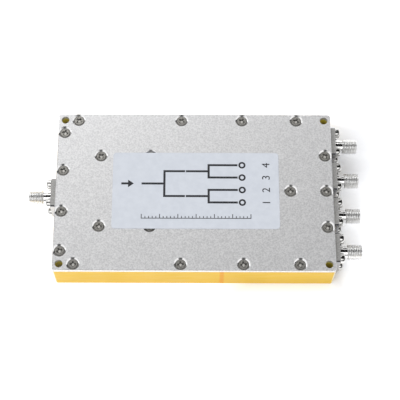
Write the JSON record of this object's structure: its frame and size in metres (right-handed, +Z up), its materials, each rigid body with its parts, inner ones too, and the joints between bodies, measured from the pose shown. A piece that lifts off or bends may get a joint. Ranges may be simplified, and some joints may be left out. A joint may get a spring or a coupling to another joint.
{
  "type": "coaxial power splitter",
  "caption": "Flat milled box with a screwed lid and flanged coaxial jacks on both ends, which shares a radio signal from its input between its outputs.",
  "frame": {"origin": "middle of the underside", "axes": "+X from the input end to the output end, +Y to the back, +Z up"},
  "size_m": [0.1384, 0.07, 0.0161],
  "materials": {
    "yellow_housing": "yellow chromate",
    "grey_lid": "fine matt",
    "label_foil": "satin foil",
    "screw_steel": "plated",
    "jack_metal": "bright plated",
    "insulator": "waxy",
    "contact_gold": "gold plated",
    "laminate": "woven laminate",
    "copper": "tarnish free copper",
    "resistor": "glazed chip",
    "solder": "bright solder"
  },
  "bodies": {
    "root": {"housing": "yellow_housing", "lid": "grey_lid", "label": "label_foil", "lid_screws": "screw_steel", "circuit_board": "laminate", "board_screws": "screw_steel", "signal_trace": "copper", "stage_one_resistors": "resistor", "back_resistors": "resistor", "front_resistors": "resistor", "solder_joints": "solder", "input_shell": "jack_metal", "input_dielectric": "insulator", "input_contact": "contact_gold", "input_flange_screws": "screw_steel", "output_1_shell": "jack_metal", "output_1_dielectric": "insulator", "output_1_contact": "contact_gold", "output_1_flange_screws": "screw_steel", "output_2_shell": "jack_metal", "output_2_dielectric": "insulator", "output_2_contact": "contact_gold", "output_2_flange_screws": "screw_steel", "output_3_shell": "jack_metal", "output_3_dielectric": "insulator", "output_3_contact": "contact_gold", "output_3_flange_screws": "screw_steel", "output_4_shell": "jack_metal", "output_4_dielectric": "insulator", "output_4_contact": "contact_gold", "output_4_flange_screws": "screw_steel"}
  },
  "joints": []
}
